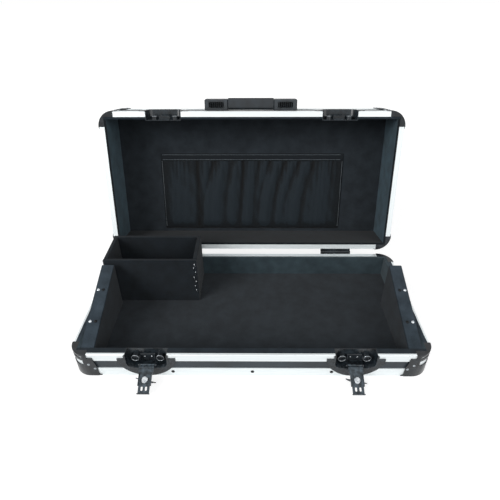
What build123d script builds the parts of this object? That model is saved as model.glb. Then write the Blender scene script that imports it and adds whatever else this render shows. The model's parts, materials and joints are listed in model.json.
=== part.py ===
from build123d import *
import math
import os

# Lighting controller flight case: a shallow base and a deeper lid, built of black boards held
# in aluminium rails, with butterfly latches and a handle in front and stop hinges behind.
# It is modelled with the lid open. The origin is the centre of the base's underside,
# +X points to the right seen from the front, +Y to the rear and +Z up.

# Outside of the two shells
case_width = 700.0
case_depth = 335.0
base_height = 59.0
lid_height = 100.5
rim_gap = 0.4
corner_radius = 34.0
lid_open_angle = 102.7

# Walls: rails outside, boards in the rails, felt-covered liner boards inside
skin = 1.5
edge_bevel = 0.8
rail_width = 12.0
rim_rail_height = 17.0
rim_rail_inner = 11.0
edge_rail_height = 22.0
edge_rail_foot = 22.0
board = 9.0
plate_board = 6.0
floor_felt = 1.5
base_liner = 6.0
lid_liner = 5.0
front_lip_width = 5.0
felt_wrap = 1.2
felt_gap = 0.6
joint_gap = 0.2

# Black guards on the corners
post_thickness = 2.5
guard_thickness = 1.8
guard_web = 34.0
guard_leg_high = 44.0
guard_leg_low = 50.0
guard_foot = 58.0
guard_shoulder = 9.0
guard_notch = 21.0
guard_bottom_bevel = 2.2
window_reach = 25.0
window_high = (5.0, 9.5)
window_low = (16.0, 29.0)
lid_rim_guard_height = 30.0
lid_rim_guard_leg = 40.0
ball_guard_height = 44.0

# Recessed butterfly latches
latch_inset = 148.5
dish_width = 81.0
dish_recess = 33.5
dish_sheet = 1.2
base_dish_depth = 18.0
lid_dish_depth = 20.0
dish_corner = 13.0
flange_width = 112.5
flange_radius = 61.5
flange_reach = 57.0
flange_thickness = 1.5
flange_ear_top = 9.0
flange_bead = 2.2
dish_rivet_spacing = 48.8
dish_rivet_level = 20.0
dish_rivet_radius = 5.0
dish_rivet_height = 2.4

# Latch mechanism, measured from its hinge pin: depth into the case and height up the latch
latch_pin_depth = 1.5
latch_pin_level = 30.0
latch_pin_radius = 1.25
latch_knuckle_radius = 2.5
latch_rest_angle = 117.0
running_gap = 0.05
side_gap = 0.3
lug_thickness = 2.0
plate_width = 29.0
plate_neck_width = 25.4
plate_sheet = 1.5
plate_depth = 4.5
plate_shoulder = 14.0
plate_length = 41.0
plate_flange_height = 3.0
hook_width = 22.0
hook_sheet = 1.5
hook_gap = 0.25
hook_start = 16.0
hook_reach = 57.0
hook_lip_width = 24.0
hook_lip_height = 1.8
hook_lip_depth = 3.6
hook_slot = (3.8, 7.5)
hook_slot_spacing = 8.2
hook_slot_level = 46.5
stud_level = 29.0
stud_radius = 3.0
stud_head_radius = 6.0
stud_head_height = 2.4
cam_radius = 4.6
cam_offset = 2.75
cam_play = 0.75
fork_radius = 5.4
fork_height = 5.2
fork_slot = 7.0
fork_collar = 0.6
wing_pin_radius = 1.1
wing_pin_depth = 1.4
wing_knuckle_radius = 2.0
wing_span = 42.0
wing_sheet = 1.6
wing_reach = 15.8
wing_foot = 2.5
wing_fork_gap = 0.8
wing_rib_length = 26.0
wing_rib_level = 10.5
twist_at_rest = 12.0
keeper_width = 26.0
keeper_sheet = 1.8
keeper_drop = 8.0
keeper_gap = 0.3
keeper_front_gap = 1.0

# Stop hinges on the rear
hinge_inset = 136.0
hinge_width = 75.0
hinge_axis_offset = 8.0
hinge_knuckle_radius = 3.8
hinge_pin_radius = 2.0
hinge_sheet = 2.0
hinge_leaf_height = 34.0
hinge_knuckles = 3

# Carrying handle on the lid's front
handle_centre = -1.7
handle_length = 214.6
handle_block_length = 54.3
handle_block_height = 40.0
handle_block_projection = 24.5
handle_block_level = 28.0
handle_block_round = 4.0
handle_block_bevel = 1.8
handle_window = (34.0, 12.5)
handle_window_depth = 26.0
grip_bar_height = 19.0
grip_projection = 27.0
grip_bar_clearance = 2.0
grip_arm_width = 13.0
grip_arm_radius = 7.0
grip_pivot_level = 60.0
grip_pivot_projection = 12.0
grip_pin_radius = 3.0
grip_pin_length = 8.0
grip_round = 5.0
grip_side_gap = 0.6

# Inside of the base: sloping side cheeks and the accessory compartment
cheek_width = 28.0
cheek_front_height = 50.0
cheek_rear_height = 111.0
cheek_rear_gap = 9.0
cheek_round = 2.0
bolt_rows_from_front = (72.0, 143.0)
bolt_columns = (7.0, 17.5)
bolt_head_radius = 3.2
bolt_head_height = 2.0
compartment_length = 209.5
compartment_width = 104.0
compartment_height = 116.0
compartment_board = 9.0
compartment_round = 2.0

# Net pocket on the lid lining
pocket_width = 468.0
pocket_centre = 1.0
pocket_bottom = 25.0
pocket_height = 201.0
pocket_sheet = 1.0
pocket_folds = 8
pocket_edge = 7.0
pocket_full_from_edge = 45.0
seam_lift = 1.2
seam_wave = 0.5
full_lift = 4.6
full_wave = 2.0
mouth_lift = 2.6
mouth_wave = 1.0
hem_height = 18.0
hem_thickness = 2.0
hem_lift = 0.2

# Places that follow from the sizes
rim_plane = base_height + rim_gap
inner_level = skin + plate_board + floor_felt
base_inner_t = rail_width + base_liner
lid_inner_t = rail_width + lid_liner
latch_x = (latch_inset - case_width / 2, case_width / 2 - latch_inset)
hinge_x = (hinge_inset - case_width / 2, case_width / 2 - hinge_inset)
latch_pin_z = base_height - latch_pin_level
hinge_y = case_depth / 2 + hinge_axis_offset
hinge_z = base_height + rim_gap / 2
hook_travel = 2 * cam_offset
cheek_rear_from_front = case_depth - base_inner_t - compartment_width - cheek_rear_gap
shell_height = {"base": base_height, "lid": lid_height}
sides = {"front": (0, 1, 0), "rear": (0, -1, 0), "left": (1, 0, 0), "right": (-1, 0, 0)}

nodes = {}


def block(x0, x1, y0, y1, z0, z1):
    return Pos((x0 + x1) / 2, (y0 + y1) / 2, (z0 + z1) / 2) * Box(x1 - x0, y1 - y0, z1 - z0)


def level(shell, h):
    """Height of a point that lies h away from the shell's rim plane."""
    return base_height - h if shell == "base" else rim_plane + h


def slab(shell, x0, x1, y0, y1, h0, h1):
    """A block between two distances from the rim plane."""
    low, high = sorted((level(shell, h0), level(shell, h1)))
    return block(x0, x1, y0, y1, low, high)


def half_run(side, setback):
    full = case_width if side in ("front", "rear") else case_depth
    return full / 2 - setback


def wall_plane(side):
    """Plane whose local x runs inward from the wall's outer face and local y runs up."""
    inward = Vector(*sides[side])
    reach = half_run("left", 0) if side in ("front", "rear") else half_run("front", 0)
    return Plane(origin=inward * -reach, x_dir=inward, z_dir=inward.cross(Vector(0, 0, 1)))


def wall_bar(shell, side, outline, setback):
    """A straight bar along one wall; its outline holds (depth inward, distance from rim)."""
    points = [(t, level(shell, h)) for t, h in outline]
    face = make_face(Polyline(*points, close=True))
    return extrude(wall_plane(side) * face, amount=half_run(side, setback), both=True)


def wall_box(shell, side, t0, t1, h0, h1, setback):
    return wall_bar(shell, side, [(t0, h0), (t1, h0), (t1, h1), (t0, h1)], setback)


def rounded_block(inset, radius, z0, z1):
    plan = RectangleRounded(case_width - 2 * inset, case_depth - 2 * inset, radius)
    return extrude(Pos(0, 0, z0) * plan, amount=z1 - z0)


def at_corners(solid):
    """The solid made at the left front corner, and its mirror images at the other three."""
    right = solid.mirror(Plane.YZ)
    return [solid, right, solid.mirror(Plane.XZ), right.mirror(Plane.XZ)]


def as_list(shape):
    return [s for s in shape.solids()]


def close_pose(solid):
    """Lid pieces are drawn closed and then swung open about the hinge pins."""
    swung = Pos(0, hinge_y, hinge_z) * Rot(X=-lid_open_angle) * Pos(0, -hinge_y, -hinge_z)
    return swung * solid


def add(name, solids, lid=False):
    flat = []
    for solid in solids:
        flat += as_list(close_pose(solid) if lid else solid)
    nodes[name] = Compound(label=name, children=flat) if len(flat) > 1 else flat[0]


# Rails, boards and liners of a shell
def rim_rail(shell, side):
    drop = felt_wrap if (shell, side) == ("base", "front") else 0
    lip = front_lip_width if drop else rail_width / 2
    outline = [
        (0, edge_bevel),
        (edge_bevel, 0),
        (lip, 0),
        (lip, drop),
        (rail_width, drop),
        (rail_width, rim_rail_inner),
        (rail_width - skin, rim_rail_inner),
        (rail_width - skin, skin + drop),
        (skin, skin + drop),
        (skin, rim_rail_height),
        (0, rim_rail_height),
    ]
    if not drop:
        outline.remove((lip, 0))
        outline.remove((lip, 0))
    return wall_bar(shell, side, outline, corner_radius + joint_gap)


def edge_rail(shell, side):
    end = shell_height[shell]
    outline = [
        (0, end - edge_rail_height),
        (skin, end - edge_rail_height),
        (skin, end - skin),
        (edge_rail_foot, end - skin),
        (edge_rail_foot, end),
        (edge_bevel, end),
        (0, end - edge_bevel),
    ]
    return wall_bar(shell, side, outline, corner_radius + joint_gap)


def wall_board(shell, side):
    top = skin + (felt_wrap if (shell, side) == ("base", "front") else 0)
    return wall_box(shell, side, skin, skin + board, top, shell_height[shell] - skin, corner_radius)


def plate(shell):
    """The floor board of the base or the top board of the lid, rebated to lie flush in its rails."""
    inset = skin + board
    end = shell_height[shell]
    low, high = sorted((level(shell, end - skin), level(shell, end - skin - plate_board)))
    panel = rounded_block(inset, corner_radius - inset, low, high)
    x = case_width / 2 - edge_rail_foot - joint_gap
    y = case_depth / 2 - edge_rail_foot - joint_gap
    field = slab(shell, -x, x, -y, y, end - skin, end)
    z0, z1 = sorted((level(shell, end - skin), level(shell, end)))
    for corner in at_corners(corner_zone(guard_web + joint_gap, z0, z1)):
        field = field - corner
    return panel + field


def plate_felt(shell, inner):
    end = shell_height[shell]
    x = case_width / 2 - inner
    y = case_depth / 2 - inner
    return slab(shell, -x, x, -y, y, end - skin - plate_board, end - inner_level)


def liner(shell, side, inner):
    deep = shell_height[shell] - skin - plate_board
    setback = rail_width if side in ("front", "rear") else inner
    strip = wall_box(shell, side, rail_width, inner, 0, deep, setback)
    if (shell, side) == ("base", "front"):
        wrap = wall_box(shell, side, front_lip_width + felt_gap, inner, 0, felt_wrap, guard_web + felt_gap)
        strip = strip + wrap
    return strip


def dish_hollow(shell, x, grow):
    """The room that a latch dish takes out of the front wall, rounded at its far corners."""
    half = dish_width / 2 - dish_sheet + grow
    depth = base_dish_depth if shell == "base" else lid_dish_depth
    front = -case_depth / 2
    inside = depth - dish_sheet + grow
    room = slab(shell, x - half, x + half, front - 5, front + inside, -5, dish_recess + grow)
    far = level(shell, dish_recess + grow)
    corners = room.edges().filter_by(Axis.Y).group_by(lambda e: round(abs(e.center().Z - far), 3))[0]
    return fillet(corners, dish_corner + grow)


def cut_for_dishes(shell, solid):
    for x in latch_x:
        solid = solid - dish_hollow(shell, x, dish_sheet)
    return solid


def build_shell(shell):
    lid = shell == "lid"
    inner = lid_inner_t if lid else base_inner_t
    board_name = "lid_top_board" if lid else "base_floor_board"
    add(board_name, [plate(shell)], lid)
    add(f"{shell}_front_board", [cut_for_dishes(shell, wall_board(shell, "front"))], lid)
    add(f"{shell}_rear_board", [wall_board(shell, "rear")], lid)
    add(f"{shell}_side_boards", [wall_board(shell, side) for side in ("left", "right")], lid)
    add(f"{shell}_front_rim_rail", [cut_for_dishes(shell, rim_rail(shell, "front"))], lid)
    add(f"{shell}_rear_rim_rail", [rim_rail(shell, "rear")], lid)
    add(f"{shell}_side_rim_rails", [rim_rail(shell, side) for side in ("left", "right")], lid)
    add(f"{shell}_front_edge_rail", [edge_rail(shell, "front")], lid)
    add(f"{shell}_rear_edge_rail", [edge_rail(shell, "rear")], lid)
    add(f"{shell}_side_edge_rails", [edge_rail(shell, side) for side in ("left", "right")], lid)
    add(f"{shell}_felt_pad", [plate_felt(shell, inner)], lid)
    add(f"{shell}_front_liner", [cut_for_dishes(shell, liner(shell, "front", inner))], lid)
    back_liners = [liner(shell, side, inner) for side in ("rear", "left", "right")]
    add(f"{shell}_liners", back_liners, lid)
    add(f"{shell}_corner_posts", at_corners(corner_post(shell)), lid)


# Corner posts and guards
def corner_zone(reach, z0, z1):
    grow = 10.0
    x0 = -case_width / 2 - grow
    y0 = -case_depth / 2 - grow
    return block(x0, x0 + grow + reach, y0, y0 + grow + reach, z0, z1)


def corner_post(shell):
    """The bent aluminium strip that carries the rails round a corner, under the guards."""
    end = shell_height[shell]
    z0, z1 = sorted((level(shell, skin), level(shell, end - skin)))
    ring = rounded_block(0, corner_radius, z0, z1)
    ring = ring - rounded_block(post_thickness, corner_radius - post_thickness, z0, z1)
    return ring & corner_zone(corner_radius - joint_gap / 2, z0, z1)


def guard_ring(shell, h0, h1, closed_end):
    """A thin ring round the case; a closed end is bevelled and floored."""
    z0, z1 = sorted((level(shell, h0), level(shell, h1)))
    outer = rounded_block(-guard_thickness, corner_radius + guard_thickness, z0, z1)
    if not closed_end:
        return outer - rounded_block(0, corner_radius, z0 - 1, z1 + 1)
    low_end = shell == "base"
    group = outer.faces().sort_by(Axis.Z)[0 if low_end else -1]
    outer = chamfer(group.edges(), guard_bottom_bevel)
    if low_end:
        return outer - rounded_block(0, corner_radius, z0 + skin, z1 + 1)
    return outer - rounded_block(0, corner_radius, z0 - 1, z1 - skin)


def leg_region(shell, outline):
    """Both legs of a guard, from one outline of (distance from the corner, distance from rim)."""
    deep = corner_radius
    grow = 10.0
    points = [(-grow, outline[0][1])] + outline + [(-grow, outline[-1][1])]
    front = [(e - case_width / 2, level(shell, h)) for e, h in points]
    left = [(e - case_depth / 2, level(shell, h)) for e, h in points]
    plane_front = Plane(origin=(0, -case_depth / 2 - grow, 0), x_dir=(1, 0, 0), z_dir=(0, -1, 0))
    plane_left = Plane(origin=(-case_width / 2 - grow, 0, 0), x_dir=(0, 1, 0), z_dir=(1, 0, 0))
    front_leg = extrude(plane_front * make_face(Polyline(*front, close=True)), amount=-(grow + deep))
    left_leg = extrude(plane_left * make_face(Polyline(*left, close=True)), amount=grow + deep)
    return front_leg + left_leg


def rim_web(shell, width):
    """The flat top of a guard that closes the corner between the rim rails."""
    z0, z1 = sorted((level(shell, 0), level(shell, skin)))
    web = rounded_block(-guard_thickness, corner_radius + guard_thickness, z0, z1)
    x = case_width / 2 - width
    y = case_depth / 2 - width
    return (web - block(-x, x, -y, y, z0, z1)) & corner_zone(guard_web, z0, z1)


def windows(shell):
    low_far = window_low[1]
    cuts = []
    for near, far in (window_high, (window_low[0], low_far)):
        z0, z1 = sorted((level(shell, near), level(shell, far)))
        room = corner_zone(window_reach, z0, z1)
        cuts.append(room - rounded_block(guard_thickness, corner_radius - guard_thickness, z0, z1))
    return cuts


def base_guard():
    end = base_height
    ring = guard_ring("base", 0, end, closed_end=True)
    outline = [
        (guard_web, 0),
        (guard_web, guard_shoulder),
        (guard_leg_high, guard_shoulder),
        (guard_leg_low, guard_notch + edge_rail_height / 2),
        (guard_leg_low + 1, end - 6),
        (guard_foot, end),
    ]
    guard = ring & leg_region("base", outline)
    foot = block(-case_width, case_width, -case_depth, case_depth, -1, skin)
    guard = guard - (foot - corner_zone(guard_web, -1, skin)) + skirt("base", end)
    guard = guard + rim_web("base", rail_width)
    for cut in windows("base"):
        guard = guard - cut
    return guard


def skirt(shell, end):
    """The guard's own strip beside the rail ends, below the rails' bevelled foot."""
    z0, z1 = sorted((level(shell, end), level(shell, end - skin)))
    ring = rounded_block(-guard_thickness, corner_radius + guard_thickness, z0, z1)
    face = ring.faces().sort_by(Axis.Z)[0 if shell == "base" else -1]
    ring = chamfer(face.edges(), skin - 0.2)
    ring = ring - rounded_block(0, corner_radius, z0 - 1, z1 + 1)
    return ring & corner_zone(guard_leg_low, z0, z1)


def lid_rim_guard():
    ring = guard_ring("lid", 0, lid_rim_guard_height, closed_end=False)
    shoulder = lid_rim_guard_leg - 8
    outline = [
        (guard_web, 0),
        (lid_rim_guard_leg, guard_shoulder / 2),
        (lid_rim_guard_leg, lid_rim_guard_height - 9),
        (shoulder, lid_rim_guard_height),
    ]
    guard = ring & leg_region("lid", outline)
    return guard + rim_web("lid", rail_width)


def lid_ball_guard():
    end = lid_height
    ring = guard_ring("lid", end - ball_guard_height, end, closed_end=True)
    outline = [
        (corner_radius - 10, end - ball_guard_height),
        (guard_leg_high, end - ball_guard_height + 16),
        (guard_leg_low, end),
    ]
    guard = ring & leg_region("lid", outline)
    top = level("lid", end)
    cap = block(-case_width, case_width, -case_depth, case_depth, top - skin, top + 1)
    return guard - (cap - corner_zone(guard_web, top - skin, top + 1)) + skirt("lid", end)


# Latch dishes with their rivets, hinge lugs and keepers
def flange_face(x, shell):
    """The dish flange seen from the front: round, with ears beside the rim rail."""
    disc = Circle(flange_radius)
    disc = Pos(0, flange_radius - flange_reach) * disc
    ears = Pos(0, -(flange_ear_top + flange_reach) / 2) * Rectangle(flange_width, flange_reach - flange_ear_top)
    neck = Pos(0, -flange_reach / 4) * Rectangle(dish_width + 2 * dish_sheet, flange_reach / 2)
    face = (disc & ears) + (disc & neck)
    return face


def dish(shell, x):
    """A pressed steel dish: round flange outside, square-backed hollow through the wall."""
    front = -case_depth / 2
    depth = base_dish_depth if shell == "base" else lid_dish_depth
    body = dish_hollow(shell, x, dish_sheet)
    body = body - block(x - 60, x + 60, front - 10, front, -200, 400)
    low, high = sorted((level(shell, 0), level(shell, dish_recess + dish_sheet)))
    body = body & block(x - 60, x + 60, front, front + depth, low, high)
    plane = Plane(origin=(x, front, level(shell, 0)), x_dir=(1, 0, 0), z_dir=(0, -1, 0))
    outline = flange_face(x, shell)
    if shell == "lid":
        outline = outline.mirror(Plane.XZ)
    flange = extrude(plane * outline, amount=flange_thickness)
    bead = flange_bead_ring(shell, x)
    solid = body + flange + bead
    return solid - dish_hollow(shell, x, 0)


def flange_bead_ring(shell, x):
    """The raised step that the pressing leaves round the hollow."""
    front = -case_depth / 2
    grown = dish_hollow(shell, x, dish_sheet + flange_bead)
    shallow = block(x - 60, x + 60, front - flange_thickness - 0.8, front - flange_thickness, -200, 400)
    low, high = sorted((level(shell, 0), level(shell, flange_reach)))
    clip = block(x - 60, x + 60, front - 10, front, low, high)
    return grown & shallow & clip


def latch_lugs(x):
    """Two folded lugs on the base dish that hold the latch's hinge pin."""
    pin_y = -case_depth / 2 + latch_pin_depth
    floor_z = level("base", dish_recess)
    lugs = []
    for sign in (-1, 1):
        inner = x + sign * (plate_width / 2 + side_gap)
        outer = inner + sign * lug_thickness
        x0, x1 = sorted((inner, outer))
        reach = latch_knuckle_radius
        web = block(x0, x1, pin_y - reach, pin_y + 3 * reach, floor_z, latch_pin_z)
        head = Pos((x0 + x1) / 2, pin_y, latch_pin_z) * Rot(Y=90) * Cylinder(reach, lug_thickness)
        lugs.append(web + head)
    hole = Pos(x, pin_y, latch_pin_z) * Rot(Y=90) * Cylinder(latch_pin_radius + running_gap / 5, 2 * plate_width)
    return (lugs[0] + lugs[1]) - hole


def latch_pin(x):
    pin_y = -case_depth / 2 + latch_pin_depth
    length = plate_width + 2 * (side_gap + lug_thickness) + 0.8
    return Pos(x, pin_y, latch_pin_z) * Rot(Y=90) * Cylinder(latch_pin_radius, length)


def dish_rivet(shell, x):
    """A rivet head on the back of the dish."""
    depth = (base_dish_depth if shell == "base" else lid_dish_depth) - dish_sheet
    y = -case_depth / 2 + depth
    z = level(shell, dish_rivet_level)
    head = Cylinder(dish_rivet_radius, dish_rivet_height, align=(Align.CENTER, Align.CENTER, Align.MIN))
    return Pos(x, y, z) * Rot(X=90) * head


def keeper(x):
    """The bracket in the lid dish that the latch hook pulls down on."""
    lip_bottom = latch_pin_z + hook_reach - hook_lip_height
    top = lip_bottom - hook_travel - keeper_gap
    hook_back = latch_pin_depth + plate_depth + plate_sheet + hook_gap + hook_sheet
    front = -case_depth / 2 + hook_back + keeper_front_gap
    back = -case_depth / 2 + lid_dish_depth - dish_sheet
    half = keeper_width / 2
    shelf = block(x - half, x + half, front, back, top - keeper_sheet, top)
    lip = block(x - half, x + half, front, front + keeper_sheet, top - keeper_drop, top)
    tail = block(x - half, x + half, back - keeper_sheet, back, top - keeper_drop, top)
    return fillet((shelf + lip + tail).edges().filter_by(Axis.X).group_by(Axis.Z)[-1], 0.8)


# Moving pieces of one latch, drawn closed with the hinge pin along X through the origin
def latch_plate():
    """The swinging plate: knuckle, cranked neck, and flanges that guide the hook."""
    back = plate_depth + plate_sheet
    knuckle = Rot(Y=90) * Cylinder(latch_knuckle_radius, plate_width)
    crank = [
        (0, latch_knuckle_radius),
        (latch_knuckle_radius * 0.5, 0),
        (back, plate_shoulder / 3),
        (back, plate_shoulder / 2),
        (plate_depth, plate_shoulder / 2),
        (plate_depth, plate_shoulder / 3 + 0.8),
    ]
    neck_face = Plane.YZ * make_face(Polyline(*crank, close=True))
    neck = extrude(neck_face, amount=plate_width / 2, both=True)
    half = plate_width / 2
    slim = plate_neck_width / 2
    outline = [
        (-half, plate_shoulder / 2 - 0.01),
        (half, plate_shoulder / 2 - 0.01),
        (half, plate_shoulder),
        (slim, plate_shoulder + 4),
        (slim, plate_length),
        (-slim, plate_length),
        (-slim, plate_shoulder + 4),
        (-half, plate_shoulder),
    ]
    plane = Plane(origin=(0, back, 0), x_dir=(1, 0, 0), z_dir=(0, -1, 0))
    sheet = extrude(plane * make_face(Polyline(*outline, close=True)), amount=plate_sheet)
    solid = knuckle + neck + sheet
    flange = slim - hook_width / 2 - side_gap
    for sign in (-1, 1):
        x0, x1 = sorted((sign * slim, sign * (slim - flange)))
        solid = solid + block(x0, x1, plate_depth, back + plate_flange_height, plate_shoulder + 4, plate_length)
    solid = solid - Rot(Y=90) * Cylinder(latch_pin_radius + running_gap, 2 * plate_width)
    return solid - Pos(0, 0, stud_level) * Rot(X=90) * Cylinder(stud_radius + running_gap, 40)


def latch_hook():
    """The sliding hook plate with the cam window, two slots and the end lip."""
    near = plate_depth + plate_sheet + hook_gap
    half = hook_width / 2
    strap = block(-half, half, near, near + hook_sheet, hook_start, hook_reach)
    lip_half = hook_lip_width / 2
    lip = block(-lip_half, lip_half, near, near + hook_sheet + hook_lip_depth, hook_reach - hook_lip_height, hook_reach)
    solid = strap + lip
    window_half = cam_radius + cam_offset + cam_play
    window = block(-window_half, window_half, near - 1, near + 5, 0, 2 * (cam_radius + cam_play))
    window = Pos(0, 0, stud_level + cam_offset - cam_radius - cam_play) * window
    solid = solid - window
    slot_width, slot_height = hook_slot
    for sign in (-1, 1):
        slot = Pos(sign * hook_slot_spacing / 2, near, hook_slot_level) * Box(slot_width, 10, slot_height)
        solid = solid - fillet(slot.edges().filter_by(Axis.Y), slot_width / 2 - 0.2)
    return solid


def latch_stud():
    """The twist stud: head, cam in the hook's window, shank and the fork that holds the wing."""
    back = plate_depth + plate_sheet
    fork_far = plate_depth - running_gap
    cam_far = back + hook_gap + hook_sheet + hook_gap
    shank = y_cylinder(0, fork_far, back + hook_gap / 2, stud_radius)
    cam = y_cylinder(cam_offset, back + hook_gap / 2, cam_far, cam_radius)
    head = y_cylinder(0, cam_far, cam_far + stud_head_height, stud_head_radius)
    head = chamfer(head.faces().sort_by(Axis.Y)[-1].edges(), stud_head_height / 2)
    fork = y_cylinder(0, fork_far - fork_height, fork_far, fork_radius)
    slot = block(-fork_slot / 2, fork_slot / 2, -fork_height, fork_far - fork_collar, -fork_radius, fork_radius)
    pin = Pos(0, wing_pin_depth, 0) * Rot(Y=90) * Cylinder(wing_pin_radius, 2 * fork_radius - 1)
    return shank + cam + head + (fork - slot) + pin


def y_cylinder(z, y0, y1, radius):
    return Pos(0, (y0 + y1) / 2, z) * Rot(X=90) * Cylinder(radius, y1 - y0)


def latch_wing():
    """The butterfly wing, a half-ellipse of sheet standing out from its pin on the stud."""
    knuckle_length = fork_slot - 2 * side_gap
    room = fork_radius + wing_fork_gap
    outer = Pos(0, wing_reach / 2 + wing_foot) * Rectangle(wing_span, wing_reach)
    lobes = Ellipse(wing_span / 2, wing_reach) & outer
    lobes = lobes - Pos(0, wing_foot) * Rectangle(2 * room, 2 * (room - wing_foot))
    neck = Pos(0, room / 2 + 0.5) * Rectangle(knuckle_length, room + 1)
    outline = (lobes + neck).mirror(Plane.XZ)
    sheet = extrude(outline, amount=wing_sheet / 2, both=True)
    rib = Pos(0, -wing_rib_level, 0) * Box(wing_rib_length, wing_sheet, 2 * wing_sheet)
    solid = sheet + rib + Rot(Y=90) * Cylinder(wing_knuckle_radius, knuckle_length)
    return solid - Rot(Y=90) * Cylinder(wing_pin_radius + running_gap, 3 * fork_radius)


def seat_latch(solid, x):
    """Puts a latch piece on its stud or hinge and swings it to the hanging rest."""
    place = Pos(x, -case_depth / 2 + latch_pin_depth, latch_pin_z)
    return place * Rot(X=latch_rest_angle) * solid


def on_stud(solid, twist):
    return Pos(0, 0, stud_level) * Rot(Y=-twist) * solid


def build_latches():
    dishes = {"base": [], "lid": []}
    rivets = {"base": [], "lid": []}
    for x in latch_x:
        dishes["base"].append(dish("base", x) + latch_lugs(x))
        dishes["lid"].append(dish("lid", x))
        for shell in ("base", "lid"):
            for sign in (-1, 1):
                rivets[shell].append(dish_rivet(shell, x + sign * dish_rivet_spacing / 2))
    add("base_latch_dishes", dishes["base"])
    add("lid_latch_dishes", dishes["lid"], lid=True)
    add("base_dish_rivets", rivets["base"])
    add("lid_dish_rivets", rivets["lid"], lid=True)
    add("latch_hinge_pins", [latch_pin(x) for x in latch_x])
    add("lid_latch_keepers", [keeper(x) for x in latch_x], lid=True)
    drawn_in = hook_travel * twist_at_rest / 180
    for name, x in zip(("left", "right"), latch_x):
        add(f"{name}_latch_plate", [seat_latch(latch_plate(), x)])
        add(f"{name}_latch_hook", [seat_latch(Pos(0, 0, -drawn_in) * latch_hook(), x)])
        add(f"{name}_latch_stud", [seat_latch(on_stud(latch_stud(), twist_at_rest), x)])
        wing = Pos(0, wing_pin_depth, 0) * latch_wing()
        add(f"{name}_latch_wing", [seat_latch(on_stud(wing, twist_at_rest), x)])


# Rear stop hinges
def hinge_leaf(shell, x):
    """A leaf screwed to the rear face, cranked out to its share of the knuckles."""
    rear = case_depth / 2
    half = hinge_width / 2
    near = 2.0
    plate_part = slab(shell, x - half, x + half, rear, rear + hinge_sheet, near, near + hinge_leaf_height)
    far_edges = plate_part.edges().filter_by(Axis.Y)
    order = far_edges.sort_by(Axis.Z)
    plate_part = fillet(order[:2] if shell == "base" else order[-2:], 6)
    web = slab(shell, x - half, x + half, rear, hinge_y, near, near + hinge_sheet)
    barrel = Pos(x, hinge_y, hinge_z) * Rot(Y=90) * Cylinder(hinge_knuckle_radius, hinge_width)
    solid = plate_part + web + barrel
    pitch = hinge_width / hinge_knuckles
    for index in range(hinge_knuckles):
        mine = (index % 2 == 0) == (shell == "base")
        if mine:
            continue
        x0 = x - half + index * pitch - side_gap / 2
        x1 = x0 + pitch + side_gap
        reach = hinge_knuckle_radius + side_gap
        solid = solid - block(x0, x1, hinge_y - reach - 0.2, hinge_y + reach, hinge_z - reach, hinge_z + reach)
    solid = solid - Pos(x, hinge_y, hinge_z) * Rot(Y=90) * Cylinder(hinge_pin_radius + running_gap, 2 * hinge_width)
    return solid


def hinge_pin(x):
    return Pos(x, hinge_y, hinge_z) * Rot(Y=90) * Cylinder(hinge_pin_radius, hinge_width)


# Handle blocks and the folding grip
def handle_block(sign):
    """One end block: a moulded box with a deep window in the side that faces the rim."""
    front = -case_depth / 2
    outer = handle_centre + sign * handle_length / 2
    inner = outer - sign * handle_block_length
    x0, x1 = sorted((outer, inner))
    h0 = handle_block_level
    h1 = handle_block_level + handle_block_height
    body = slab("lid", x0, x1, front - handle_block_projection, front, h0, h1)
    body = chamfer(body.edges().filter_by(Axis.Y), handle_block_round / 2)
    body = chamfer(body.faces().sort_by(Axis.Y)[0].edges(), handle_block_bevel)
    foot = slab("lid", x0 + 4, x1 - 4, front - 1, front + skin, h0 + 4, h1 - 4)
    body = body + foot
    wide, tall = handle_window
    middle = (x0 + x1) / 2
    mid_y = front - handle_block_projection / 2
    window = slab("lid", middle - wide / 2, middle + wide / 2, mid_y - tall / 2, mid_y + tall / 2,
                  h0 - 1, h0 + handle_window_depth)
    body = body - fillet(window.edges().filter_by(Axis.Z), 3)
    bore_length = grip_pin_length + 0.6
    bore_x = inner + sign * (bore_length / 2)
    bore = Cylinder(grip_pin_radius + running_gap, bore_length + 0.02)
    pivot_y = front - grip_pivot_projection
    return body - Pos(bore_x, pivot_y, level("lid", grip_pivot_level)) * Rot(Y=90) * bore


def handle_grip():
    """A padded bar on two arms, folded down between the blocks."""
    front = -case_depth / 2
    half = handle_length / 2 - handle_block_length - grip_side_gap
    x0 = handle_centre - half
    x1 = handle_centre + half
    bar_near = front - grip_bar_clearance
    bar_far = front - grip_projection
    h0 = handle_block_level
    bar = slab("lid", x0, x1, bar_far, bar_near, h0, h0 + grip_bar_height)
    bar = fillet(bar.edges().filter_by(Axis.X), grip_round)
    pivot_y = front - grip_pivot_projection
    solid = bar
    for sign in (-1, 1):
        edge = handle_centre + sign * half
        a0, a1 = sorted((edge, edge - sign * grip_arm_width))
        low_h = h0 + grip_bar_height - grip_round
        arm = slab("lid", a0, a1, pivot_y - grip_arm_radius, pivot_y + grip_arm_radius, low_h, grip_pivot_level)
        eye = Pos((a0 + a1) / 2, pivot_y, level("lid", grip_pivot_level)) * Rot(Y=90)
        eye = eye * Cylinder(grip_arm_radius, grip_arm_width)
        pin_x = edge + sign * (grip_side_gap + grip_pin_length) / 2
        pin = Pos(pin_x, pivot_y, level("lid", grip_pivot_level)) * Rot(Y=90)
        pin = pin * Cylinder(grip_pin_radius, grip_side_gap + grip_pin_length)
        solid = solid + arm + eye + pin
    return solid


# Inside pieces of the base
def cheek_height(from_front):
    run = cheek_rear_from_front - base_inner_t
    share = (from_front - base_inner_t) / run
    return inner_level + cheek_front_height + share * (cheek_rear_height - cheek_front_height)


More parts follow.
